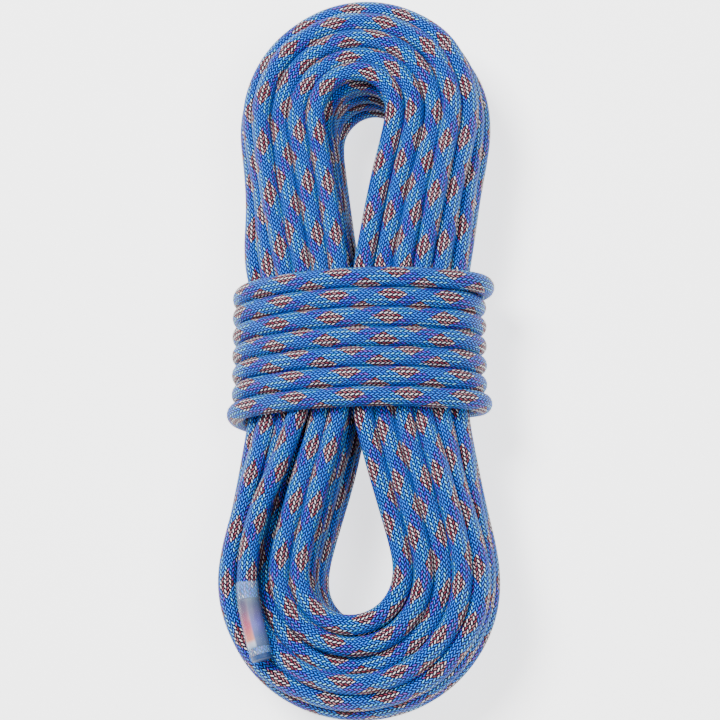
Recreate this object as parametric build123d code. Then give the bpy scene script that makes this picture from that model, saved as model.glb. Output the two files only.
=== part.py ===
"""Dynamic climbing rope, coiled as a wrapped hank. Millimetres, +Z up.

The hank lies on its back with its long axis along Y and its top loop at +Y.
The origin is on the ground, under the middle of the whole object.
"""
import os
from math import acos, atan2, cos, degrees, hypot, pi, sin, sqrt, tan

from build123d import *

# ---------------------------------------------------------------- the rope
rope_diameter = 9.8
sheath_wall = 1.1
marker_diameter = 0.8          # the thread the core is laid round
outer_strand_count = 9
inner_strand_count = 4
strand_gap = 0.05              # between neighbouring core strands
fused_end_length = 2.4         # the melted cap that closes a cut end
fused_end_rounding = 0.9

# ------------------------------------------ the sleeve and band on each end
sleeve_wall = 0.7
band_wall = 0.25               # the printed band, sunk in the sleeve's bore
sleeve_length = 38.0
band_length = 24.0
band_setback = 6.0             # from the rope's end to the band

# ------------------------------------------------------------- the wrapping
wrap_turns = 7
wrap_middle_y = -1.0
groove_depth = 0.25 * rope_diameter        # between two wrapping turns
pressed_flat = 0.3             # how far the turns are squashed on the ground

# ------------------------------------- the bundle of loops inside the wraps
waist_width = 108.0
waist_depth = 56.0
waist_side_radius = 18.0

# --------------------------------------------- the two loops beyond the wraps
length = 357.0
leg_width = 46.0               # the band of strands on each side of an eye
leg_depth = 61.0
leg_rounding = 18.0
leg_x_at_wrap = 27.5           # from the middle to a leg's middle
upper_loop_width = 122.0
upper_loop_x = 2.0
lower_loop_width = 131.0
lower_loop_x = 0.0
loop_end_z = 30.0              # middle of the loops' depth at their far ends
web_width = 14.0               # where the two legs of a loop close up at the wraps
web_length = 14.0

# ------------------------------------------------------------ the free ends
tail_clearance = 0.4
pivot_from_wrap = 6.2          # along Y, from the wrap's side to a tail's root
lift_room = 4.0                # how much wider the front channel is round its root
front_tail_z = 60.6
front_tail_points = [(-28.5, 0.0), (-35.5, -20.0), (-46.0, -42.0), (-51.0, -67.0),
                     (-49.5, -90.0), (-42.5, -113.0)]       # X, Y from the root
back_tail_points = [(-41.0, 0.0, 19.5), (-42.6, 14.0, 16.6), (-46.4, 29.0, 10.6),
                    (-49.2, 45.0, 6.9), (-50.4, 62.0, 5.9), (-48.4, 79.0, 5.9)]
back_tail_swing = 60.0         # how far the back end swings out, degrees
path_sway = 12.0               # how far its curve strays from the line root to tip, degrees

# ---------------------------------------------------------- worked-out sizes
rope_radius = rope_diameter / 2
core_radius = rope_radius - sheath_wall
sleeve_radius = rope_radius + sleeve_wall
wrap_band = wrap_turns * rope_diameter
wrap_low_y = wrap_middle_y - wrap_band / 2
wrap_high_y = wrap_middle_y + wrap_band / 2
waist_low_z = rope_diameter - pressed_flat
waist_high_z = waist_low_z + waist_depth
waist_middle_z = (waist_low_z + waist_high_z) / 2
front_root = Vector(front_tail_points[0][0], wrap_low_y - pivot_from_wrap, front_tail_z)
back_root = Vector(back_tail_points[0][0], wrap_high_y + pivot_from_wrap, back_tail_points[0][2])


# ------------------------------------------------------------------- helpers
def cord_path(name, points):
    """Straight runs joined by tangent arcs, each arc as large as its runs allow."""
    points = [Vector(*p) for p in points]
    radii = []
    for before, corner, after in zip(points, points[1:], points[2:]):
        half_turn = (corner - before).get_angle(after - corner) / 2
        shorter = min((corner - before).length, (after - corner).length)
        radii.append(0.45 * shorter / tan(half_turn * pi / 180))
    path = FilletPolyline(*points, radius=radii)
    print(f"{name}: length {path.length:.1f}, radii", [round(r, 1) for r in radii])
    return path


def rod(path, radius, offset=(0, 0)):
    """A round rod along the path, its middle set off across the path."""
    return sweep((path ^ 0) * Pos(*offset) * Circle(radius), path=path)


def between(shape, path, start, end):
    """The stretch of a rod from start to end, both measured back from the tip."""
    for distance, keep in ((start, Keep.BOTTOM), (end, Keep.TOP)):
        if 0 < distance < path.length:
            along = 1 - distance / path.length
            shape = split(shape, Plane(origin=path @ along, z_dir=path % along), keep=keep)
    return shape


def oval(width, height, side_radius):
    """A four-arc oval: two small side arcs, two wide arcs above and below."""
    half_w, half_h = width / 2, height / 2
    side_x = half_w - side_radius
    wide = (side_x**2 + half_h**2 - side_radius**2) / (2 * (half_h - side_radius))
    meet = Vector(side_x, wide - half_h).normalized() * wide
    meet_x, meet_y = meet.X, meet.Y - (wide - half_h)
    right = ThreePointArc((meet_x, -meet_y), (half_w, 0), (meet_x, meet_y))
    top = ThreePointArc((meet_x, meet_y), (0, half_h), (-meet_x, meet_y))
    left = ThreePointArc((-meet_x, meet_y), (-half_w, 0), (-meet_x, -meet_y))
    bottom = ThreePointArc((-meet_x, -meet_y), (0, -half_h), (meet_x, -meet_y))
    return Wire([right, top, left, bottom])


def seen_from_the_end(y, z):
    """The plane of a section across the hank: X to the right, Z up."""
    return Plane(origin=(0, y, z), x_dir=(1, 0, 0), z_dir=(0, -1, 0))


# ------------------------------------------------------- the hank and the wrap
def loop(wrap_side_y, sign, middle_x, width):
    """The strands beyond the wraps: two legs and a half turn round the eye."""
    bend = (width - leg_width) / 2
    far_z = loop_end_z - waist_middle_z
    run = length / 2 - sign * wrap_side_y
    reach = sqrt(run**2 + far_z**2)
    slope = Vector(0, sign * run, far_z).normalized()
    lie = Plane(origin=(0, wrap_side_y, waist_middle_z), x_dir=(1, 0, 0),
                z_dir=Vector(1, 0, 0).cross(slope))
    middle = Vector(middle_x, reach - leg_width / 2 - bend)
    ends = [Vector(side * leg_x_at_wrap, -leg_width / 4) for side in (-1, 1)]
    touch = [tangent_point(end, middle, bend, side) for end, side in zip(ends, (-1, 1))]
    turn = ThreePointArc(touch[0], middle + Vector(0, bend), touch[1])
    path = lie * Wire([Line(ends[0], touch[0]), turn, Line(touch[1], ends[1])])
    start = Plane(origin=path @ 0, x_dir=(path % 0).cross(lie.z_dir), z_dir=path % 0)
    band = sweep(start * RectangleRounded(leg_width, leg_depth, leg_rounding), path=path)
    web = make_face(Polyline((-web_width / 2, 0), (web_width / 2, 0), (0, web_length), close=True))
    band += extrude(lie * web, waist_depth / 3, both=True)
    keep = Plane(origin=(0, wrap_side_y, 0), z_dir=(0, sign, 0))
    return split(band, keep, keep=Keep.TOP)


def tangent_point(start, middle, radius, side):
    """Where the straight line from start touches the circle, on the given side."""
    line = start - middle
    turn = side * degrees(acos(radius / line.length))
    return middle + line.normalized().rotate(Axis.Z, turn) * radius


def hank_body():
    """The outer shape of all the long loops, without its channels for the ends."""
    bundle = make_face(oval(waist_width, waist_depth, waist_side_radius))
    waist = extrude(seen_from_the_end(wrap_high_y, waist_middle_z) * bundle, wrap_band)
    return (waist + loop(wrap_high_y, 1, upper_loop_x, upper_loop_width)
            + loop(wrap_low_y, -1, lower_loop_x, lower_loop_width))


def front_channel(path):
    """The groove that the front end lies in, open above so that it can lift."""
    reach = sleeve_radius + tail_clearance
    bed = rod(path, reach) + Pos(front_root) * Sphere(reach) + Pos(path @ 1) * Sphere(reach)
    above = extrude(trace(path, 2 * reach), rope_diameter)
    bottom_middle = (Align.CENTER, Align.CENTER, Align.MIN)
    well = Cylinder(reach + lift_room, rope_diameter, align=bottom_middle)
    return bed + above + Pos(front_root - Vector(lift_room, lift_room)) * well


def back_channel(path):
    """The room under the loop's edge where the back end lies and swings out."""
    reach = sleeve_radius + tail_clearance
    bed = rod(path, reach) + Pos(back_root) * Sphere(reach) + Pos(path @ 1) * Sphere(reach)
    root, tip = Vector(*back_tail_points[0]), Vector(*back_tail_points[-1])
    span = hypot(tip.X - root.X, tip.Y - root.Y) + 2 * sleeve_radius
    roof = [(hypot(x - root.X, y - root.Y), z + reach) for x, y, z in back_tail_points]
    profile = Polyline((0, -1), *roof, (span, roof[-1][1]), (span, -1), close=True)
    first = degrees(atan2(tip.Y - root.Y, tip.X - root.X))
    face = Plane.XZ * make_face(profile)
    wedge = Rot(0, 0, first) * revolve(face, Axis.Z, revolution_arc=back_tail_swing + path_sway)
    swung_bed = Pos(back_root) * Rot(0, 0, back_tail_swing) * Pos(-back_root) * bed
    return bed + swung_bed + Pos(back_root.X, back_root.Y, 0) * wedge


def wrap_ring():
    """Seven touching turns as one ring, bored to fit the bundle inside it."""
    seat = oval(waist_width, waist_depth, waist_side_radius)
    rounding_starts = rope_diameter - groove_depth
    outline = [Line((0, 0), (0, rounding_starts))]
    for turn in range(wrap_turns):
        start = turn * rope_diameter
        outline.append(ThreePointArc((start, rounding_starts), (start + rope_radius, rope_diameter),
                                     (start + rope_diameter, rounding_starts)))
    outline += [Line((wrap_band, rounding_starts), (wrap_band, 0)), Line((wrap_band, 0), (0, 0))]
    begin = Plane(origin=seat @ 0, x_dir=(0, 0, 1), z_dir=seat % 0)
    ring = sweep(begin * make_face(outline), path=seat)
    return split(seen_from_the_end(wrap_high_y, waist_middle_z) * ring, Plane.XY, keep=Keep.TOP)


# ----------------------------------------------------------------- a free end
def strand_ring(count, room, around):
    """Ring radius and strand diameter for a ring of strands that fills its room."""
    s = sin(pi / count)
    side_by_side = (room - strand_gap * (1 + 0.5 / s)) / (0.5 + 0.5 / s)
    in_the_room = room - around - 2 * strand_gap
    diameter = min(side_by_side, in_the_room)
    return room - strand_gap - diameter / 2, diameter


def free_end(name, points):
    """Every solid of one free end: sheath, core, marker, cap, band and sleeve."""
    path = cord_path(name, points)
    whole = path.length
    outer_ring, outer_strand = strand_ring(outer_strand_count, core_radius, 0)
    inner_room = outer_ring - outer_strand / 2
    inner_ring, inner_strand = strand_ring(inner_strand_count, inner_room, marker_diameter / 2)
    tube = rod(path, rope_radius)
    nodes = {}
    sheath = tube - rod(path, core_radius)
    nodes["sheath"] = between(sheath, path, fused_end_length, whole)
    for label, count, ring, diameter in (("outer", outer_strand_count, outer_ring, outer_strand),
                                         ("inner", inner_strand_count, inner_ring, inner_strand)):
        for number in range(count):
            angle = 2 * pi * number / count
            strand = rod(path, diameter / 2, (ring * cos(angle), ring * sin(angle)))
            nodes[f"core_{label}_strand_{number + 1}"] = between(strand, path, fused_end_length, whole)
    nodes["marker_thread"] = between(rod(path, marker_diameter / 2), path, fused_end_length, whole)
    cap = between(tube, path, 0, fused_end_length)
    rim = cap.edges().filter_by(GeomType.CIRCLE).sort_by_distance((path ^ 1).position)[0]
    nodes["fused_cap"] = fillet(rim, fused_end_rounding)
    band = between(rod(path, rope_radius + band_wall) - tube, path, band_setback,
                   band_setback + band_length)
    nodes["printed_band"] = band
    sleeve = rod(path, sleeve_radius) - tube
    nodes["shrink_sleeve"] = between(sleeve, path, fused_end_length, sleeve_length) - band
    return path, nodes


# -------------------------------------------------------------- the whole thing
def main():
    os.makedirs("parts", exist_ok=True)
    front_points = [(x, front_root.Y + y, front_tail_z) for x, y in front_tail_points]
    back_points = [(x, back_root.Y + y, z) for x, y, z in back_tail_points]
    front_path, front_nodes = free_end("front_end", front_points)
    back_path, back_nodes = free_end("back_end", back_points)
    hank = hank_body() - front_channel(front_path) - back_channel(back_path)
    nodes = {"hank": hank, "wrap": wrap_ring()}
    nodes.update({f"front_{key}": solid for key, solid in front_nodes.items()})
    nodes.update({f"back_{key}": solid for key, solid in back_nodes.items()})
    for name, solid in nodes.items():
        export_step(solid, f"parts/{name}.step")
    print("front root", front_root, "back root", back_root)


main()
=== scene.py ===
# %% [markdown]
# # A wrapped hank of climbing rope
#
# The object is one long kernmantle rope: a twisted core inside a braided sheath.
# It is laid up in long loops, bound round the middle, and its two ends are loose.
# This lesson lays the rope's centre-line first, as a rope worker would lay the rope.
# Then it makes the braid's colours, the sheath round the line, and the two ends.
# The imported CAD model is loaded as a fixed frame, and everything is placed from it.

# %% Load the frame
import math

import bpy
import numpy as np
from mathutils import Matrix, Vector


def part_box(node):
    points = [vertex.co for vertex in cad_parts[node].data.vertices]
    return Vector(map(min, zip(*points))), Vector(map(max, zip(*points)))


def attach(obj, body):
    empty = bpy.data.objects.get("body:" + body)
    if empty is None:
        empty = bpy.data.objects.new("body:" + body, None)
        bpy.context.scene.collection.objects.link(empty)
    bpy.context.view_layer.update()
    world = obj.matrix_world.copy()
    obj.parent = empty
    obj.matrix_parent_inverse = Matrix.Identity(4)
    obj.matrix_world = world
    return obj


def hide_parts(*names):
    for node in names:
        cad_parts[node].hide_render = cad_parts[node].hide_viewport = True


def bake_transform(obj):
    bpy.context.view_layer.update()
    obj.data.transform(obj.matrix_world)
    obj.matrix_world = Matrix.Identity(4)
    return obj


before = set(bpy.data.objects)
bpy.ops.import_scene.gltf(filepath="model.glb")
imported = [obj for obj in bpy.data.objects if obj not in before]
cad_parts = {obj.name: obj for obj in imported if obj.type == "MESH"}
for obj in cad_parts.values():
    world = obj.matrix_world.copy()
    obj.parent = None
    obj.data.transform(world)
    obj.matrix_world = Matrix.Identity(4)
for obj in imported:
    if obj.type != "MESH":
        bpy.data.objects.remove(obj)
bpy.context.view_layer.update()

# %% [markdown]
# ## The camera
#
# A long lens from about a metre away keeps the hank's two loops nearly the same size.
# It looks down on the hank, a little from the lower loop's side and from the right,
# so that the loops' outer walls on those two sides show.

# %% Camera
MM = 0.001
VIEW_DISTANCE = 1.06
VIEW_LEAN = Vector((0.165, -0.235, 1.0)).normalized()
VIEW_TARGET = Vector((0.0010, -0.0055, 0.040))
LENS = 107.0

lens = bpy.data.cameras.new("camera")
lens.lens = LENS
camera = bpy.data.objects.new("camera", lens)
bpy.context.scene.collection.objects.link(camera)
camera.location = VIEW_TARGET + VIEW_LEAN * VIEW_DISTANCE
to_the_right = Vector((0, 1, 0)).cross(VIEW_LEAN).normalized()
upwards = VIEW_LEAN.cross(to_the_right)
camera.rotation_mode = "QUATERNION"
camera.rotation_quaternion = Matrix((to_the_right, upwards, VIEW_LEAN)).transposed().to_quaternion()
bpy.context.scene.camera = camera
print("camera at", [round(x, 3) for x in camera.location])

# %% [markdown]
# ## The rope's route: the two free ends
#
# A free end isn't coiled, so its route is a short list of given points.
# They are the points that the CAD model's tubes follow, here in metres.
# The front end lies on the lower loop, and the back end under the upper loop.

# %% The free ends' points
ROPE = 9.8 * MM
ROPE_RADIUS = ROPE / 2
SLEEVE_RADIUS = ROPE_RADIUS + 0.7 * MM
FRONT_END = [
    (-0.0285, -0.0415, 0.0606),
    (-0.0355, -0.0615, 0.0606),
    (-0.0460, -0.0835, 0.0606),
    (-0.0510, -0.1085, 0.0606),
    (-0.0495, -0.1315, 0.0606),
    (-0.0425, -0.1545, 0.0606),
]
BACK_END = [
    (-0.0410, 0.0395, 0.0195),
    (-0.0426, 0.0535, 0.0166),
    (-0.0464, 0.0685, 0.0106),
    (-0.0492, 0.0845, 0.0069),
    (-0.0504, 0.1015, 0.0059),
    (-0.0484, 0.1185, 0.0059),
]
FRONT_ROOT, BACK_ROOT = FRONT_END[0], BACK_END[0]
front_line = np.array(FRONT_END)
back_line = np.array(BACK_END)
print("free ends:", len(front_line), "and", len(back_line), "points")

# %% [markdown]
# ## The rope's route: where each turn lies
#
# The bundle has 25 turns. Seen in a cut across one side of it, they lie in six ranks
# from the eye outwards, and each rank is a stack of two to six turns.
# A person lays them so that each turn lands beside the last one, so the order below
# always steps to a neighbour. There are two cuts to describe: at the wraps, where the
# bundle is pressed into an oval, and in the loops, where it is a deep rounded band.

# %% Ranks and layers
LAYERS = (6, 5, 5, 4, 3, 2)                     # turns in each rank, from the eye out
WAIST_X = (5.3, 15.0, 24.3, 33.1, 41.0, 47.9)   # each rank's place at the wraps
WAIST_HEIGHT = (23.0, 20.3, 19.7, 16.4, 12.1, 5.4)
LOOP_ACROSS = (-16.6, -7.2, 2.0, 10.4, 16.6, 19.2)
LOOP_HEIGHT = (25.6, 25.4, 24.6, 22.4, 17.0, 9.0)
LAYING_ORDER = ((2, 0), (2, 1), (1, 1), (0, 1), (0, 0), (1, 0), (3, 0), (4, 0), (5, 0),
                (5, 1), (4, 1), (3, 1), (4, 2), (3, 2), (2, 2), (1, 2), (0, 2), (0, 3),
                (1, 3), (2, 3), (3, 3), (2, 4), (1, 4), (0, 4), (0, 5))


def stacked(rank, layer, half_height):
    """The height of one layer of a rank, from the top of its stack to the bottom."""
    return half_height * (1 - 2 * layer / (LAYERS[rank] - 1))


def waist_place(slot):
    """Where a turn lies at the wraps: how far out, and how far above the middle."""
    rank, layer = slot
    return WAIST_X[rank] * MM, stacked(rank, layer, WAIST_HEIGHT[rank]) * MM


def loop_place(slot):
    """Where a turn lies in a loop: how far outside the middle line, and how high."""
    rank, layer = slot
    return LOOP_ACROSS[rank] * MM, stacked(rank, layer, LOOP_HEIGHT[rank]) * MM


print("turns:", len(LAYING_ORDER), "of", sum(LAYERS))

# %% [markdown]
# ## The rope's route: one half turn round a loop
#
# A strand leaves the wraps on the left, runs straight until it touches the loop's
# bend, follows the bend, and comes back straight to the wraps on the right.
# Working out the tangent gives the drop-shaped eye by itself. Small slow waves, drawn
# from a seeded generator, keep two neighbouring turns from being exactly alike.

# %% A half turn
WRAP_LOW, WRAP_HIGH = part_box("wrap")[0].y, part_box("wrap")[1].y
LOOP_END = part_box("hank")[1].y
WAIST_MIDDLE = 37.5 * MM
LOOP_END_MIDDLE = 30.0 * MM
STEP = 5.0 * MM
SETTLE_RUN = 42 * MM                # from the wraps to where the loop's cut is reached
LEG_HALF = 23 * MM                  # half the width of the band of strands beside an eye
ARC_POINTS, RUN_POINTS, EVEN_POINTS = 200, 60, 121
WAVE_SIZE = 0.8 * MM
UPPER = {"side": 1, "wrap": WRAP_HIGH, "x": 2.0 * MM, "bend": 38.0 * MM}
LOWER = {"side": -1, "wrap": -WRAP_LOW, "x": 0.0, "bend": 42.5 * MM}
for loop in (UPPER, LOWER):
    loop["y"] = LOOP_END - LEG_HALF - loop["bend"]
dice = np.random.default_rng(12)


def eased(t):
    t = np.clip(t, 0, 1)
    return t * t * (3 - 2 * t)


def wave(t, size):
    """A slow random wave along t from 0 to 1, nought at both ends."""
    total = np.zeros_like(t)
    for humps in (1, 2, 3, 5):
        total += dice.normal(0, size / humps**0.5) * np.sin(math.pi * humps * t)
    return total


def half_turn(loop, slot):
    """Points from the wraps' left, round the loop, to the wraps' right, for one slot."""
    waist_x, waist_up = waist_place(slot)
    across, up = loop_place(slot)
    radius = loop["bend"] + across
    middle = np.array([loop["x"], loop["y"]])
    sides = []
    for side in (-1, 1):
        start = np.array([side * waist_x, loop["wrap"]])
        away = start - middle
        reach = np.hypot(*away)
        turn = math.atan2(away[1], away[0]) + side * math.acos(radius / reach)
        sides.append((start, turn))
    (left, left_turn), (right, right_turn) = sides
    while left_turn < right_turn:
        left_turn += 2 * math.pi
    bend = np.linspace(left_turn, right_turn, ARC_POINTS)
    arc = middle + radius * np.stack([np.cos(bend), np.sin(bend)], 1)
    plan = np.concatenate([np.linspace(left, arc[0], RUN_POINTS)[:-1], arc,
                           np.linspace(arc[-1], right, RUN_POINTS)[1:]])
    along = np.concatenate([[0], np.cumsum(np.linalg.norm(np.diff(plan, axis=0), axis=1))])
    t = np.linspace(0, 1, EVEN_POINTS)
    plan = np.stack([np.interp(t, along / along[-1], plan[:, k]) for k in (0, 1)], 1)
    run = np.minimum(t, 1 - t) * along[-1]
    slope = np.clip((plan[:, 1] - loop["wrap"]) / (LOOP_END - loop["wrap"]), 0, 1)
    level = WAIST_MIDDLE + (LOOP_END_MIDDLE - WAIST_MIDDLE) * slope
    height = level + waist_up + (up - waist_up) * eased(run / SETTLE_RUN)
    way = np.gradient(plan, axis=0)
    way /= np.linalg.norm(way, axis=1)[:, None]
    out = np.stack([-way[:, 1], way[:, 0]], 1)
    plan = plan + out * wave(t, WAVE_SIZE)[:, None]
    height = height + wave(t, WAVE_SIZE)
    return np.stack([plan[:, 0], loop["side"] * plan[:, 1], height], 1)


def spaced(points, step):
    """The same line with its points an even step apart."""
    points = np.asarray(points, float)
    along = np.concatenate([[0], np.cumsum(np.linalg.norm(np.diff(points, axis=0), axis=1))])
    at = np.linspace(0, along[-1], max(2, round(along[-1] / step) + 1))
    return np.stack([np.interp(at, along, points[:, k]) for k in range(3)], 1)


print("an upper half turn has", len(spaced(half_turn(UPPER, (2, 0)), STEP)), "points")

# %% [markdown]
# ## The rope's route: the wraps
#
# The wraps follow the oval bundle at a rope's radius outside it. The oval is four arcs:
# small ones at the sides, wide ones above and below. On the front the wraps run nearly
# straight across, and most of the step to the next wrap happens on the underside.

# %% The wraps
OVAL_SIDE_X, OVAL_SIDE_RADIUS = 36.0 * MM, 18.0 * MM
OVAL_WIDE_Z, OVAL_WIDE_RADIUS = 59.8 * MM, 87.8 * MM
WRAP_TURNS = 7
WRAP_START, WRAP_END, WRAP_DEGREES = -62, 360 * (WRAP_TURNS - 1) + 242, 6
UNDERSIDE = 90                 # degrees from the right side down to the underside
FIRST_WRAP_Y = WRAP_HIGH - ROPE_RADIUS
FRONT_STRAIGHTNESS = 0.72
SLACK = ((4.5, -0.22, 0.16), (2.5, 5.76, 0.12), (2.5, 6.25, 0.12))  # mm, where in turns, spread
OVAL_CORNER = math.atan2(OVAL_WIDE_Z, OVAL_SIDE_X)


def on_the_oval(turn, proud):
    """A point round the oval, where turn is its outward direction in radians."""
    c, s = math.cos(turn), math.sin(turn)
    if abs(s) < math.sin(OVAL_CORNER):
        radius = OVAL_SIDE_RADIUS + proud
        return math.copysign(OVAL_SIDE_X, c) + radius * c, radius * s
    radius = OVAL_WIDE_RADIUS + proud
    return radius * c, radius * s - math.copysign(OVAL_WIDE_Z, s)


def wraps():
    """All the wrapping turns, from the underside on the right to that on the left."""
    points = []
    for degrees in range(WRAP_START, WRAP_END + 1, WRAP_DEGREES):
        turns = (degrees - 90) / 360
        step = turns - FRONT_STRAIGHTNESS * math.sin(2 * math.pi * turns) / (2 * math.pi)
        slack = sum(size * math.exp(-((turns - place) / spread) ** 2) for size, place, spread in SLACK)
        x, z = on_the_oval(math.radians(degrees), ROPE_RADIUS + slack * MM)
        points.append((x, FIRST_WRAP_Y - ROPE * step, WAIST_MIDDLE + z))
    return points


# From the last half turn's right side, under the bundle, to the first wrap.
TO_THE_WRAPS = [(0.0150, 0.0690, 0.0100), (0.0175, 0.0530, 0.0062), (0.0245, 0.0410, 0.0056),
                (0.0345, 0.0345, 0.0098)]
# From the last wrap, between the wraps and the bundle, to the back end's root.
TO_THE_BACK_END = [(-0.0365, -0.0325, 0.0095), (-0.0315, -0.0250, 0.0120), (-0.0320, -0.0110, 0.0155),
                   (-0.0380, 0.0040, 0.0185), (-0.0410, 0.0190, 0.0195)]
print("the wraps have", len(wraps()), "points")

# %% [markdown]
# ## The rope's route: all of it, in order
#
# The rope is laid from the front end's tip: up through the wraps on the left, round the
# upper loop, down through the wraps on the right, where it shifts to the next slot, and
# round the lower loop to the left again. The last turn becomes the wraps.
# Each stretch is noted with the piece that it belongs to. Two pieces always meet where
# the wraps cover the joint, or on the underside.

# %% Lay the rope
LEFT_SPLIT = 6                 # a turn begins after this many points of its run up the left
LAST_TURN_POINTS = 98          # of an upper half turn, where the last one dips to the wraps


def passed_through(start, end, side):
    """A strand's run through the wraps, from one slot to another."""
    x0, up0 = waist_place(start)
    x1, up1 = waist_place(end)
    t = np.linspace(0, 1, 15)[1:-1]
    mix = eased(t)
    first, last = (WRAP_LOW, WRAP_HIGH) if side < 0 else (WRAP_HIGH, WRAP_LOW)
    x = side * (x0 + (x1 - x0) * mix)
    return np.stack([x, first + (last - first) * t, WAIST_MIDDLE + up0 + (up1 - up0) * mix], 1)


def lay_rope():
    """The rope's stretches in order, each with the name of its piece."""
    laid, piece = [], "front_end"
    last = len(LAYING_ORDER) - 1
    for number, slot in enumerate(LAYING_ORDER):
        after = LAYING_ORDER[min(number + 1, last)]
        right_slot = slot if number == 0 else after
        left_run = passed_through(slot, slot, -1)
        laid.append((piece, left_run[:LEFT_SPLIT]))
        piece = f"turn_{number + 1:02d}"
        upper = half_turn(UPPER, slot)
        laid.append((piece, left_run[LEFT_SPLIT:]))
        if number == last:
            laid.append((piece, upper[:LAST_TURN_POINTS]))
            break
        laid += [(piece, upper), (piece, passed_through(slot, right_slot, 1))]
        lower = half_turn(LOWER, right_slot)[::-1]
        if number == 0:
            landing = half_turn(LOWER, after)[::-1]
            mix = eased(np.linspace(0, 1, len(lower)))[:, None]
            lower = lower * (1 - mix) + landing * mix
        laid.append((piece, lower))
    return laid


stretches = lay_rope()
coil, owner = [], []
for piece, points in stretches:
    even = spaced(points, STEP)
    coil.append(even)
    owner += [piece] * len(even)
coil = np.concatenate(coil)
keep = np.r_[True, np.linalg.norm(np.diff(coil, axis=0), axis=1) > 0.5 * STEP]
coil, owner = coil[keep], [name for name, kept in zip(owner, keep) if kept]
wrap_line = np.array(wraps())
print("the turns as laid:", round(float(np.linalg.norm(np.diff(coil, axis=0), axis=1).sum()), 2), "m")

# %% [markdown]
# ## Let the rope settle
#
# Laid by rule, neighbouring turns still run into each other in places. Real rope pushes
# its neighbours aside and stays smooth. So each point here is pushed away from points of
# other strands that are nearer than a rope's thickness, is smoothed along the rope, and
# is drawn gently back to where it was laid. The free ends and the wraps hold still, and
# so does the bundle inside the wraps.

# %% Settle
ROUNDS = 240
LOOK_AGAIN = 12
PULL_HOME = 0.012
PULL_HOME_ON_TOP = 0.03
TOP_HEIGHT = 52 * MM           # above this the turns show, so they stay nearer to home
HIDDEN_MARGIN = 5 * MM
NEAR = 1.45 * ROPE             # how near two points are before they are watched
SAME_STRAND = 5                # this many points along, a strand is never its own neighbour
CROWDING = 0.45                # how much a point's many neighbours share out their push
STIFFNESS = 0.055
TOP_GAP, SWEEP_GAP = 0.3 * MM, 0.4 * MM
SWEEP_FROM, SWEEP_TO, SWEEP_REACH = 95, 161, 98 * MM   # where the back end swings, degrees


def neighbours(points, reach, skip):
    """Pairs of points of different strands that are nearer than reach."""
    firsts, seconds = [], []
    squares = (points**2).sum(1)
    for start in range(0, len(points), 500):
        block = points[start:start + 500]
        gap = squares[start:start + 500, None] + squares[None] - 2 * block @ points.T
        one, other = np.nonzero(gap < reach**2)
        one = one + start
        apart = other - one > skip
        firsts.append(one[apart])
        seconds.append(other[apart])
    return np.concatenate(firsts), np.concatenate(seconds)


def below_front_end(points, end_line):
    """The most height a point may have, so that nothing lies over the front end."""
    gap = np.linalg.norm(points[:, None, :2] - end_line[None, :, :2], axis=2)
    nearest = gap.argmin(1)
    plan = gap[np.arange(len(points)), nearest]
    room = SLEEVE_RADIUS + ROPE_RADIUS + TOP_GAP
    under = end_line[nearest, 2] - np.sqrt(np.clip(room**2 - plan**2, 0, None))
    return np.where((plan < room) & (points[:, 1] < FRONT_ROOT[1] + 4 * MM), under, 1.0)


def above_back_end(points):
    """The least height a point may have, so that the back end can swing out."""
    east, north = points[:, 0] - BACK_ROOT[0], points[:, 1] - BACK_ROOT[1]
    out = np.hypot(east, north)
    turn = np.degrees(np.arctan2(north, east)) % 360
    room = SLEEVE_RADIUS + ROPE_RADIUS
    margin = np.degrees(np.arcsin(np.clip(room / np.maximum(out, room), 0, 1)))
    inside = (turn > SWEEP_FROM - margin) & (turn < SWEEP_TO + margin) & (out < SWEEP_REACH)
    lie = [np.hypot(x - BACK_ROOT[0], y - BACK_ROOT[1]) for x, y, _ in BACK_END]
    roof = np.interp(out, lie, back_line[:, 2])
    return np.where(inside & (points[:, 1] > WRAP_HIGH), roof + room + SWEEP_GAP, ROPE_RADIUS)


def settle(points, held, pull):
    """Points after the rope has settled; held points stay where they are."""
    home, free = points.copy(), ~held
    end_line = spaced(front_line, 4 * MM)
    for count in range(ROUNDS):
        if count % LOOK_AGAIN == 0:
            one, other = neighbours(points, NEAR, SAME_STRAND)
        apart = points[one] - points[other]
        gap = np.maximum(np.linalg.norm(apart, axis=1), 1e-6)
        push = (np.clip(ROPE - gap, 0, None) / gap * 0.5)[:, None] * apart
        touching = (gap < ROPE).astype(float)
        hits = np.bincount(one, touching, len(points)) + np.bincount(other, touching, len(points))
        share = 1 / np.maximum(1, CROWDING * hits)
        move = np.zeros_like(points)
        for axis in range(3):
            move[:, axis] = np.bincount(one, push[:, axis], len(points))
            move[:, axis] -= np.bincount(other, push[:, axis], len(points))
        move *= share[:, None]
        bend = points[:-4] - 4 * points[1:-3] + 6 * points[2:-2] - 4 * points[3:-1] + points[4:]
        move[2:-2] -= STIFFNESS * bend
        move += (home - points) * pull[:, None]
        points = points + move * free[:, None]
        height = np.maximum(points[:, 2], above_back_end(points))
        height = np.minimum(height, below_front_end(points, end_line))
        points[:, 2] = np.where(free, height, points[:, 2])
    return points


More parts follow.
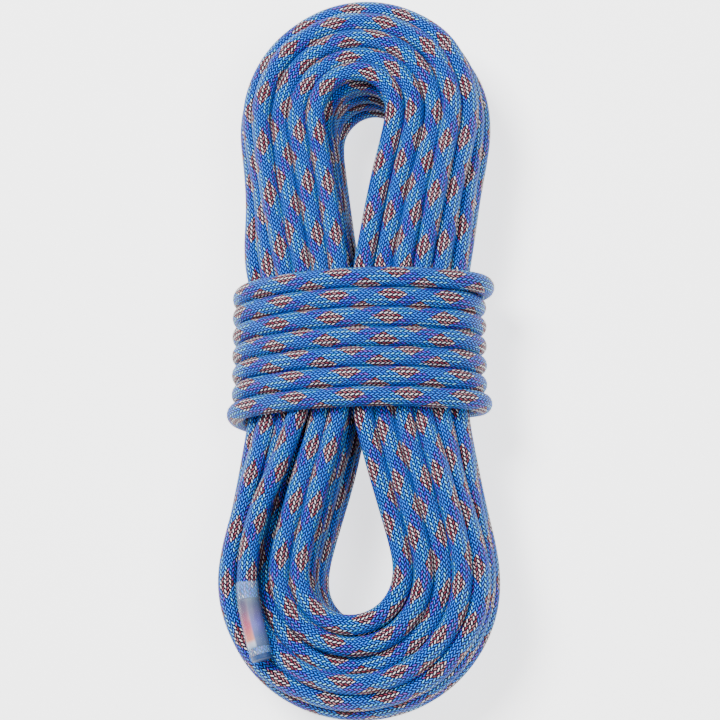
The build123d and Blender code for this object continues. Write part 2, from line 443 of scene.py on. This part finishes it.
start_line = front_line[::-1]
start_points = spaced(start_line, STEP)
joined = np.concatenate([start_points, coil, TO_THE_WRAPS, wrap_line, TO_THE_BACK_END,
                         spaced(back_line, STEP)])
coil_slice = slice(len(start_points), len(start_points) + len(coil))
held = np.ones(len(joined), bool)
inside = (joined[:, 1] > WRAP_LOW + HIDDEN_MARGIN) & (joined[:, 1] < WRAP_HIGH - HIDDEN_MARGIN)
held[coil_slice] = inside[coil_slice]
pull = np.where(joined[:, 2] > TOP_HEIGHT, PULL_HOME_ON_TOP, PULL_HOME)
settled = settle(joined, held, pull)[coil_slice]
one, other = neighbours(settled, ROPE, SAME_STRAND)
depth = (ROPE - np.linalg.norm(settled[one] - settled[other], axis=1)) / MM
print("after settling:", len(depth), "close pairs, deepest", round(float(depth.max()), 1), "mm, usual",
      round(float(np.median(depth)), 2), "mm")

# %% [markdown]
# ## One smooth line
#
# The rope's centre-line is one NURBS curve. The listed points and every second
# point of the settled coil are its control points, so it has no corners. Blender reads
# a curve with no thickness back as a fine row of points, which every mesh then follows.

# %% The rope's line
def smooth_line(name, points):
    """Points along an order-3 NURBS curve that has these control points."""
    data = bpy.data.curves.new(name, "CURVE")
    data.dimensions = "3D"
    data.resolution_u = 4
    spline = data.splines.new("NURBS")
    spline.points.add(len(points) - 1)
    for control, point in zip(spline.points, points):
        control.co = (*point, 1)
    spline.order_u = 3
    spline.use_endpoint_u = True
    holder = bpy.data.objects.new(name, data)
    mesh = bpy.data.meshes.new_from_object(holder)
    line = np.array([v.co for v in mesh.vertices], float)
    bpy.data.meshes.remove(mesh)
    bpy.data.objects.remove(holder)
    return line


controls = np.concatenate([start_line, settled[::2], TO_THE_WRAPS, wrap_line, TO_THE_BACK_END,
                           back_line])
wrap_turns = [(WRAP_START + WRAP_DEGREES * k + UNDERSIDE) // 360 for k in range(len(wrap_line))]
wrap_numbers = [min(WRAP_TURNS, 1 + max(0, turns)) for turns in wrap_turns]
owners = (["front_end"] * len(start_line) + owner[::2] + ["wrap_1"] * len(TO_THE_WRAPS)
          + [f"wrap_{number}" for number in wrap_numbers]
          + ["back_end"] * (len(TO_THE_BACK_END) + len(back_line)))
line = smooth_line("rope", controls)
along = np.concatenate([[0], np.cumsum(np.linalg.norm(np.diff(line, axis=0), axis=1))])
print("rope length", round(float(along[-1]), 2), "m,", len(line), "points on its line")


def transported(line):
    """Two directions across the line at each point, which never spin about it."""
    way = np.gradient(line, axis=0)
    way /= np.linalg.norm(way, axis=1)[:, None]
    across = np.zeros_like(line)
    across[0] = np.cross(way[0], (0.0, 0.0, 1.0))
    for k in range(1, len(line)):
        step = across[k - 1] - way[k] * (across[k - 1] @ way[k])
        across[k] = step / np.linalg.norm(step)
    return across, np.cross(way, across)


across, upward = transported(line)
print("frames:", len(across))

# %% [markdown]
# ## Shader maths as Python
#
# A braid is easiest to write as a formula. This small class wraps one socket of a
# material, so that ordinary Python operators add the Math nodes. Every other node
# comes from its one method, node, which sets the node up and then fills its sockets.

# %% A socket that does maths
class Value:
    """A socket in a material's node tree."""

    def __init__(self, tree, socket=None):
        self.tree, self.socket = tree, socket

    def node(self, kind, settings=None, sockets=None, output=0):
        """Adds a node, with its settings first and then its sockets' values or links."""
        made = self.tree.nodes.new(kind)
        for key, setting in (settings or {}).items():
            if key == "stops":
                while len(made.color_ramp.elements) < len(setting):
                    made.color_ramp.elements.new(0.5)
                for element, (place, colour) in zip(made.color_ramp.elements, setting):
                    element.position, element.color = place, colour
            else:
                setattr(made, key, setting)
        for key, given in (sockets or {}).items():
            if isinstance(given, Value):
                self.tree.links.new(given.socket, made.inputs[key])
            else:
                made.inputs[key].default_value = given
        return Value(self.tree, made.outputs[output])

    def other(self, output):
        """Another output of the same node."""
        return Value(self.tree, self.socket.node.outputs[output])

    def math(self, operation, *values):
        return self.node("ShaderNodeMath", {"operation": operation}, dict(enumerate(values)))

    def __add__(self, value):
        return self.math("ADD", self, value)

    __radd__ = __add__

    def __sub__(self, value):
        return self.math("SUBTRACT", self, value)

    def __rsub__(self, value):
        return self.math("SUBTRACT", value, self)

    def __mul__(self, value):
        return self.math("MULTIPLY", self, value)

    __rmul__ = __mul__

    def __truediv__(self, value):
        return self.math("DIVIDE", self, value)

    def __mod__(self, value):
        return self.math("FLOORED_MODULO", self, value)

    def __pow__(self, value):
        return self.math("POWER", self, value)

    def __lt__(self, value):
        return self.math("LESS_THAN", self, value)

    def floor(self):
        return self.math("FLOOR", self)

    def cosine(self):
        return self.math("COSINE", self)

    def bump(self, height, strength, distance):
        return self.node("ShaderNodeBump", {}, {"Strength": strength, "Distance": distance, "Height": height})

    def between(self, low, high):
        """0 below low, 1 above high, and a smooth step in between."""
        return self.node("ShaderNodeMapRange", {"interpolation_type": "SMOOTHSTEP"},
                         {"Value": self, "From Min": low, "From Max": high})

    def mix(self, colour, other):
        """A colour where this value is 0, another where it is 1."""
        return self.node("ShaderNodeMix", {"data_type": "RGBA"}, {0: self, 6: colour, 7: other}, 2)


def shade(red, green, blue):
    """A colour as a dyer's swatch gives it, from 0 to 255, made linear for the shader."""
    parts = [x / 255 for x in (red, green, blue)]
    return (*(x / 12.92 if x < 0.04045 else ((x + 0.055) / 1.055) ** 2.4 for x in parts), 1.0)


def new_material(name, **sockets):
    """A material for a slot of that name, and its shader, with what is the same all over."""
    made = bpy.data.materials.new(name)
    made.use_nodes = True
    shader = made.node_tree.nodes["Principled BSDF"]
    for key, given in sockets.items():
        shader.inputs[key.replace("_", " ")].default_value = given
    made["slot"] = name
    return made, shader, Value(made.node_tree)


def finish_material(made, shader, **values):
    """Links each value to the shader's socket of that name."""
    for name, value in values.items():
        made.node_tree.links.new(value.socket, shader.inputs[name.replace("_", " ")])
    return made


print("a braid yarn's blue:", [round(x, 3) for x in shade(10, 100, 210)])

# %% [markdown]
# ## The braided sheath
#
# Forty-eight yarns make the sheath: half wind one way and half the other, and each goes
# over two and under two. Along the rope and round it, two slanting counts say which
# yarn of each set a spot is on, and their sum, counted in fours, says which set is on
# top. The first set has a group of white and pale yarns, the second a group of red
# ones. Where a white and a red group cross, a chequered lozenge shows.

# %% Braid material
YARNS = 24                     # in each direction
BRAID_PITCH = 54 * MM          # along the rope, for a yarn's one turn round it
COLOUR_GROUP = 12
STITCH_RELIEF = 0.5 * MM
# Painted shade: the near-black blue that the braid takes in the gaps between stitches.
STITCH_GAP_SHADE = shade(0, 2, 20)


def braid_pattern(start):
    """The braid's colour, with painted shade in the gaps between stitches and painted highlights on their
    crowns, its height and stitch-to-stitch unevenness.
    """
    place = start.node("ShaderNodeUVMap", {"uv_map": "Braid"})
    parts = start.node("ShaderNodeSeparateXYZ", {}, {0: place})
    along, round_it = parts, parts.other(1)
    first = (round_it + along / BRAID_PITCH) * YARNS
    second = (round_it - along / BRAID_PITCH) * YARNS
    first_yarn, second_yarn = first.floor(), second.floor()
    across_first, across_second = first - first_yarn, second - second_yarn
    count = (first_yarn + second_yarn) % 4
    second_on_top = 1 - (count < 1.5)
    stitch = start.node("ShaderNodeCombineXYZ", {}, {0: first_yarn, 1: second_yarn})
    luck = start.node("ShaderNodeTexWhiteNoise", {"noise_dimensions": "2D"}, {"Vector": stitch})

    def choose(one, other):
        return start.node("ShaderNodeMix", {"data_type": "FLOAT"},
                          {0: second_on_top, 2: one, 3: other})

    over = choose(across_first, across_second) - 0.5
    far = (choose(across_second, across_first) + count - second_on_top * 2) / 2 - 0.5
    height = (over * math.pi).cosine() * (far * math.pi).cosine() ** 0.45
    # Painted highlight: where the stitches' crowns take a lighter colour.
    crown_highlight = height.between(0.55, 0.95)

    def yarn(body, highlight_colour):
        """A yarn's body colour, and a lighter colour painted on its crown as a highlight."""
        return crown_highlight.mix(shade(*body), shade(*highlight_colour))

    pale_first = (first_yarn % COLOUR_GROUP) < 6.5
    warm_second = (second_yarn % COLOUR_GROUP) < 5.5
    # Each yarn here is a body colour with a painted highlight, a lighter colour, on its crown.
    blue = luck.mix(shade(0, 46, 160), shade(0, 70, 200))
    blue = crown_highlight.mix(blue, shade(0, 126, 244))
    cyan = (luck < 0.4).mix(yarn((0, 72, 176), (130, 228, 255)),
                            yarn((0, 90, 190), (40, 190, 255)))
    white = yarn((84, 66, 104), (255, 248, 244))
    violet = (luck < 0.5).mix(yarn((6, 8, 120), (50, 50, 236)),
                              yarn((44, 0, 100), (130, 70, 216)))
    red = (luck < 0.5).mix(yarn((44, 0, 16), (140, 44, 66)),
                           yarn((46, 4, 22), (188, 116, 124)))
    first_colour = pale_first.mix(blue, warm_second.mix(cyan, white))
    second_colour = warm_second.mix(blue, pale_first.mix(violet, red))
    colour = second_on_top.mix(first_colour, second_colour)
    # Painted shade: the colour darkens to near-black blue where the height drops into the gaps between
    # stitches.
    colour = height.between(0.28, 0.8).mix(STITCH_GAP_SHADE, colour)
    return colour, height, luck


def braided_sheath():
    made, shader, start = new_material("braided_sheath", Specular_IOR_Level=0.22)
    colour, height, luck = braid_pattern(start)
    bump = start.bump(height, 1.0, STITCH_RELIEF)
    return finish_material(made, shader, Base_Color=colour, Roughness=0.42 + luck * 0.2, Normal=bump)


BRAID = braided_sheath()
print("braid nodes:", len(BRAID.node_tree.nodes))

# %% [markdown]
# ## Skin on a line
#
# Every round piece here is rings of points round a stretch of the line, joined by
# four-sided faces. Two maps go on it: Braid holds the distance along the rope and the
# share of a turn round it, which the braid needs, and OFBake folds the long strip into
# a square, for colours that are to be painted on the model later.

# %% Skin
def skin(name, path, across, upward, radii, sides=18, start=0.0, bore=0.0):
    """A closed tube along path. radii holds one radius, or one for each ring."""
    rings = len(path)
    radii = np.broadcast_to(np.asarray(radii, float), (rings,))
    walls = [(radii, 1)] + ([(np.full(rings, bore), -1)] if bore else [])
    turn = np.linspace(0, 2 * math.pi, sides, endpoint=False)
    far = start + np.concatenate([[0], np.cumsum(np.linalg.norm(np.diff(path, axis=0), axis=1))])
    verts, faces, braid, bake = [], [], [], []
    total = far[-1] - far[0]
    strips = max(1, round(math.sqrt(total / (2 * math.pi * radii.max() * len(walls)))))
    per_strip = math.ceil((rings - 1) / strips)
    rows = strips * len(walls)
    for wall, (size, outward) in enumerate(walls):
        base = wall * rings * sides
        circle = (np.cos(turn)[None, :, None] * across[:, None]
                  + np.sin(turn)[None, :, None] * upward[:, None])
        verts.append((path[:, None] + circle * size[:, None, None]).reshape(-1, 3))
        i, j = [x.ravel() for x in np.meshgrid(np.arange(rings - 1), np.arange(sides), indexing="ij")]
        corners = [(i, j), (i, j + 1), (i + 1, j + 1), (i + 1, j)][::outward]
        faces.append(np.stack([base + a * sides + b % sides for a, b in corners], 1))
        braid.append(np.stack([np.stack([far[a], b / sides], 1) for a, b in corners], 1))
        strip = i // per_strip
        row = strip + wall * strips
        bake.append(np.stack([np.stack([0.01 + 0.98 * (a - strip * per_strip) / per_strip,
                                        0.96 * (row + 0.04 + 0.92 * b / sides) / rows], 1)
                              for a, b in corners], 1))
    verts = np.concatenate(verts)
    quads, braid, bake = np.concatenate(faces), np.concatenate(braid), np.concatenate(bake)
    if bore:
        j = np.arange(sides)
        inner = rings * sides
        for ring, flip in ((0, -1), (rings - 1, 1)):
            b = ring * sides
            ends = [(b + j), (b + (j + 1) % sides), (inner + b + (j + 1) % sides), (inner + b + j)][::flip]
            quads = np.concatenate([quads, np.stack(ends, 1)])
            place = np.stack([np.full(sides, far[ring]), j / sides], 1)
            braid = np.concatenate([braid, np.repeat(place[:, None], 4, 1)])
            left = 0.05 + 0.5 * (ring > 0)
            spots = [(left + 0.4 * (j + u) / sides, np.full(sides, 0.965 + 0.03 * w)) for u, w in
                     ((0, 0), (1, 0), (1, 1), (0, 1))][::flip]
            bake = np.concatenate([bake, np.stack([np.stack(s, 1) for s in spots], 1)])
    mesh = bpy.data.meshes.new(name)
    caps = [] if bore else [list(range(sides))[::-1], [(rings - 1) * sides + k for k in range(sides)]]
    mesh.from_pydata(verts.tolist(), [], quads.tolist() + caps)
    braid_uv, bake_uv = braid.reshape(-1, 2), bake.reshape(-1, 2)
    for end, cap in enumerate(caps):
        angle = turn[::-1] if end == 0 else turn
        spot = np.stack([np.cos(angle), np.sin(angle)], 1) * 0.014
        braid_uv = np.concatenate([braid_uv, np.stack([np.full(sides, far[-end]), angle / 7], 1)])
        bake_uv = np.concatenate([bake_uv, spot + [0.25 + 0.5 * end, 0.98]])
    for label, values in (("Braid", braid_uv), ("OFBake", bake_uv)):
        layer = mesh.uv_layers.new(name=label)
        layer.data.foreach_set("uv", values.astype(np.float32).ravel())
    mesh.polygons.foreach_set("use_smooth", [True] * len(quads) + [False] * len(caps))
    made = bpy.data.objects.new(name, mesh)
    bpy.context.scene.collection.objects.link(made)
    return made


# %% [markdown]
# ## The coiled rope
#
# Each turn of the hank and each wrap is a piece of its own, cut from the one line.
# Together they stand for the CAD model's plain hank and wrap.

# %% Coil pieces
SIDES = 18


def cut_line():
    """Where each piece starts and ends along the rope's line."""
    at_control = along[np.minimum(np.arange(len(controls)) * 4, len(line) - 1)]
    starts = {}
    for name, place in zip(owners, at_control):
        starts.setdefault(name, place)
    names = list(starts)
    ends = [starts[name] for name in names[1:]] + [along[-1]]
    return {name: (starts[name], end) for name, end in zip(names, ends)}


cuts = cut_line()


def stretch(low, high):
    """The points between two distances along the rope, with their directions."""
    first, last = np.searchsorted(along, [low - 1e-9, high + 1e-9])
    begins_before = along[min(first, len(along) - 1)] > low + 1e-6
    chosen = slice(max(0, first - begins_before), min(len(line), last + 1))
    return line[chosen], across[chosen], upward[chosen], float(along[chosen][0])


def finish_piece(piece, material, body="coil"):
    piece.data.materials.append(material)
    if body:
        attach(piece, body)
    return piece


coil_names = [name for name in cuts if name not in ("front_end", "back_end")]
for name in coil_names:
    path, side, up, start = stretch(*cuts[name])
    piece = finish_piece(skin(name, path, side, up, ROPE_RADIUS, SIDES, start), BRAID)
    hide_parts("wrap" if name.startswith("wrap") else "hank")
print("coil pieces:", len(coil_names))

# %% [markdown]
# ## The materials of the free ends
#
# A cut end shows what the rope is made of. The core's strands are plain nylon with a
# slow twist, and the thread in their middle is the maker's marker. The cut itself is
# melted shut. A printed band goes round it, under a sleeve of clear shrunk plastic.

# %% Free end materials
CORE_RADIUS = ROPE_RADIUS - 1.1 * MM
BAND_LENGTH, BAND_SETBACK, BAND_WALL = 24 * MM, 6 * MM, 0.25 * MM
SLEEVE_LENGTH = 38 * MM
CAP_LENGTH, CAP_ROUNDING = 2.4 * MM, 0.9 * MM


def twisted_yarn(name, light, groove_shade, lay, roughness):
    """Fine slanting filaments, a lay of this many metres, with painted shade in the grooves between them."""
    made, shader, start = new_material(name, Roughness=roughness, Specular_IOR_Level=0.3)
    place = start.node("ShaderNodeUVMap", {"uv_map": "Braid"})
    parts = start.node("ShaderNodeSeparateXYZ", {}, {0: place})
    ridge = ((parts / lay + parts.other(1) * 6) * math.tau).cosine() * 0.5 + 0.5
    # Painted shade: the colour goes darker down in the grooves between the filaments.
    return finish_material(made, shader, Base_Color=ridge.mix(groove_shade, light),
                           Normal=start.bump(ridge, 0.8, 0.12 * MM))


def melted_nylon():
    made, shader, start = new_material("fused_nylon", Coat_Roughness=0.15)
    spots = start.node("ShaderNodeTexNoise", {}, {"Scale": 900.0, "Detail": 4.0})
    colour = spots.between(0.35, 0.7).mix(shade(4, 20, 66), shade(40, 88, 150))
    return finish_material(made, shader, Base_Color=colour, Roughness=0.2 + spots * 0.25,
                           Normal=start.bump(spots, 0.7, 0.3 * MM))


def printed_band():
    """A print that runs from pale at the tip through orange and crimson to maroon."""
    made, shader, start = new_material("printed_band", Specular_IOR_Level=0.4)
    place = start.node("ShaderNodeUVMap", {"uv_map": "Braid"})
    parts = start.node("ShaderNodeSeparateXYZ", {}, {0: place})
    share, round_it = parts / BAND_LENGTH, parts.other(1)
    warm = start.node("ShaderNodeValToRGB", {"stops": (
        (0.0, shade(150, 170, 196)), (0.10, shade(196, 196, 206)), (0.17, shade(232, 120, 40)),
        (0.42, shade(190, 24, 34)), (0.75, shade(96, 8, 26)), (1.0, shade(46, 10, 30)))}, {0: share})
    cool = start.node("ShaderNodeValToRGB", {"stops": (
        (0.0, shade(8, 18, 66)), (0.2, shade(20, 20, 96)), (0.45, shade(74, 40, 150)),
        (0.7, shade(70, 22, 76)), (1.0, shade(60, 66, 62)))}, {0: share})
    left = ((round_it - 0.5) * math.tau).cosine().between(-0.12, 0.12)
    grain = start.node("ShaderNodeTexNoise", {}, {"Scale": 2500.0, "Detail": 2.0})
    worn = (grain * 0.3).mix(left.mix(cool, warm), shade(30, 20, 40))
    return finish_material(made, shader, Base_Color=worn, Roughness=0.35 + grain * 0.2,
                           Normal=start.bump(grain, 0.4, 0.05 * MM))


def clear_sleeve():
    made, shader, start = new_material("clear_sleeve", Specular_IOR_Level=0.9)
    place = start.node("ShaderNodeNewGeometry")
    haze = start.node("ShaderNodeTexNoise", {}, {"Vector": place, "Scale": 260.0, "Detail": 3.0})
    colour = haze.mix(shade(90, 150, 230), shade(190, 220, 250))
    return finish_material(made, shader, Base_Color=colour, Roughness=0.12 + haze * 0.2,
                           Alpha=0.1 + haze * 0.1, Normal=start.bump(haze, 0.5, 0.15 * MM))


CORE_YARN = twisted_yarn("core_yarn", shade(240, 238, 230), shade(176, 172, 160), 4 * MM, 0.55)
MARKER_YARN = twisted_yarn("marker_yarn", shade(240, 170, 40), shade(160, 80, 10), 2 * MM, 0.5)
FUSED, PRINT, SLEEVE = melted_nylon(), printed_band(), clear_sleeve()
print("end materials:", ", ".join(m.name for m in (CORE_YARN, MARKER_YARN, FUSED, PRINT, SLEEVE)))

# %% [markdown]
# ## The free ends
#
# Everything on an end is placed by its distance from the tip. The core's strands are
# laid round the thread, so each is the rope's line moved out and turned as it goes.
# The pieces that run past the root are left unattached, and the others are attached to the end's body.

# %% Free ends
OUTER_RING, OUTER_STRAND = 2.81 * MM, 1.87 * MM
INNER_RING, INNER_STRAND = 1.14 * MM, 1.38 * MM
THREAD = 0.8 * MM
CORE_LAY = 70 * MM
CORE_RUN = 6 * MM              # how far the core runs on past an end's root
SLEEVE_GAP = 0.06 * MM
WIDE_SIDES, SHEATH_SIDES, STRAND_SIDES, THREAD_SIDES = 32, 24, 10, 8
FREE_STEP, CAP_STEP = 2 * MM, 0.15 * MM
CORE = (("outer", 9, OUTER_RING, OUTER_STRAND), ("inner", 4, INNER_RING, INNER_STRAND))
# Each end's name, its tip's place along the line, the way in from it, and where it bends.
ENDS = (
    ("front", 0.0, 1, FRONT_ROOT, ((-0.0270, -0.0365, 0.0606), (-0.0355, -0.0615, 0.0606))),
    ("back", float(along[-1]), -1, BACK_ROOT, ((-0.0410, 0.0345, 0.0195), (-0.0426, 0.0535, 0.0166))),
)


def from_tip(tip, way, low, high, step=1.0 * MM):
    """The line between two distances from a tip, with its directions."""
    at = tip + way * np.linspace(low, high, max(2, round((high - low) / step) + 1))
    return [np.stack([np.interp(at, along, values[:, k]) for k in range(3)], 1)
            for values in (line, across * way, upward)]


def strand(path, side, up, ring, angle):
    """The path of a core strand that is laid round the line."""
    far = np.concatenate([[0], np.cumsum(np.linalg.norm(np.diff(path, axis=0), axis=1))])
    turn = (angle + math.tau * far / CORE_LAY)[:, None]
    return path + ring * (np.cos(turn) * side + np.sin(turn) * up)


def core_of(end, path, side, up):
    """An end's core strands and thread, each with the CAD node that it stands for."""
    made = []
    for kind, count, ring, thick in CORE:
        for number in range(count):
            lay = strand(path, side, up, ring, math.tau * number / count)
            piece = skin(f"{end}_{kind}_strand_{number + 1}", lay, *transported(lay), thick / 2, STRAND_SIDES)
            made.append((finish_piece(piece, CORE_YARN, None), f"core_{kind}_strand_{number + 1}"))
    piece = skin(f"{end}_thread", path, side, up, THREAD / 2, THREAD_SIDES)
    return made + [(finish_piece(piece, MARKER_YARN, None), "marker_thread")]


def fittings_of(end, body, tip, way):
    """An end's fused cap, printed band and clear sleeve, with their CAD nodes."""
    path, side, up = from_tip(tip, way, 0, CAP_LENGTH, CAP_STEP)
    inset = CAP_ROUNDING - np.clip(np.linspace(0, CAP_LENGTH, len(path)), 0, CAP_ROUNDING)
    radii = ROPE_RADIUS - CAP_ROUNDING + np.sqrt(CAP_ROUNDING**2 - inset**2)
    cap = skin(f"{end}_cap", path, side, up, radii, WIDE_SIDES)
    path, side, up = from_tip(tip, way, BAND_SETBACK, BAND_SETBACK + BAND_LENGTH)
    band = skin(f"{end}_band", path, side, up, ROPE_RADIUS + BAND_WALL, WIDE_SIDES, 0.0, ROPE_RADIUS)
    path, side, up = from_tip(tip, way, CAP_LENGTH, SLEEVE_LENGTH)
    sleeve = skin(f"{end}_sleeve", path, side, up, SLEEVE_RADIUS, WIDE_SIDES, 0.0, ROPE_RADIUS + SLEEVE_GAP)
    return [(finish_piece(piece, material, body), node) for piece, material, node in
            ((cap, FUSED, "fused_cap"), (band, PRINT, "printed_band"), (sleeve, SLEEVE, "shrink_sleeve"))]


for end, tip, way, root, bend in ENDS:
    body = f"{end}_end"
    root_far = abs(tip - along[np.linalg.norm(line - np.array(root), axis=1).argmin()])
    reach = cuts[body][1] - cuts[body][0]
    path, side, up = from_tip(tip, way, CAP_LENGTH, reach, FREE_STEP)
    sheath = skin(body, path, side, up, ROPE_RADIUS, SHEATH_SIDES, CAP_LENGTH, CORE_RADIUS)
    bending = [(finish_piece(sheath, BRAID, None), "sheath")]
    bending += core_of(end, *from_tip(tip, way, CAP_LENGTH, root_far + CORE_RUN, FREE_STEP))
    riding = fittings_of(end, body, tip, way)
    for piece, _ in bending:
        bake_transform(piece)
    for piece, node in bending + riding:
        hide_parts(f"{end}_{node}")
    path = from_tip(tip, way, 0, reach, FREE_STEP)[0]
    [piece for piece, _ in (bending + riding)[1:]]
    print(f"{end} end:", round(float(reach), 3), "m with", len(bending + riding), "pieces")

# %% [markdown]
# ## The floor
#
# A plain pale floor, as in a product studio. It gives off light of its own, so that it
# stays pale under the hank. It is staging, so it isn't part of the object.

# %% Floor
floor_mesh = bpy.data.meshes.new("floor")
floor_mesh.from_pydata([(-3, -3, 0), (3, -3, 0), (3, 3, 0), (-3, 3, 0)], [], [(0, 1, 2, 3)])
floor = bpy.data.objects.new("floor", floor_mesh)
bpy.context.scene.collection.objects.link(floor)
floor_mesh.materials.append(new_material("floor_paint", Base_Color=(0.9, 0.9, 0.9, 1), Roughness=0.9,
                                         Emission_Color=(1, 1, 1, 1), Emission_Strength=1.8)[0])
print("floor:", len(floor_mesh.polygons), "face")

# %% [markdown]
# ## The light
#
# One strong panel stands on the upper left, a weaker one on the right and a faint one
# beyond the lower loop. They are small enough to leave dark creases between strands.

# %% Light
PANELS = (  # place, size and power of each light panel
    ((-0.5, 0.5, 1.5), 0.6, 62),
    ((0.7, -0.2, 1.4), 0.6, 20),
    ((0.0, -1.3, 0.9), 0.8, 5),
)
for number, (place, size, power) in enumerate(PANELS):
    panel = bpy.data.lights.new(f"panel_{number}", "AREA")
    panel.size, panel.energy = size, power
    light = bpy.data.objects.new(panel.name, panel)
    light.location = place
    light.rotation_mode = "QUATERNION"
    light.rotation_quaternion = (Vector(place) - VIEW_TARGET).to_track_quat("Z", "Y")
    bpy.context.scene.collection.objects.link(light)
world = bpy.data.worlds.new("studio")
world.use_nodes = True
world.node_tree.nodes["Background"].inputs["Color"].default_value = (0.95, 0.97, 1.0, 1)
world.node_tree.nodes["Background"].inputs["Strength"].default_value = 0.05
bpy.context.scene.world = world
print("light panels:", len(PANELS))
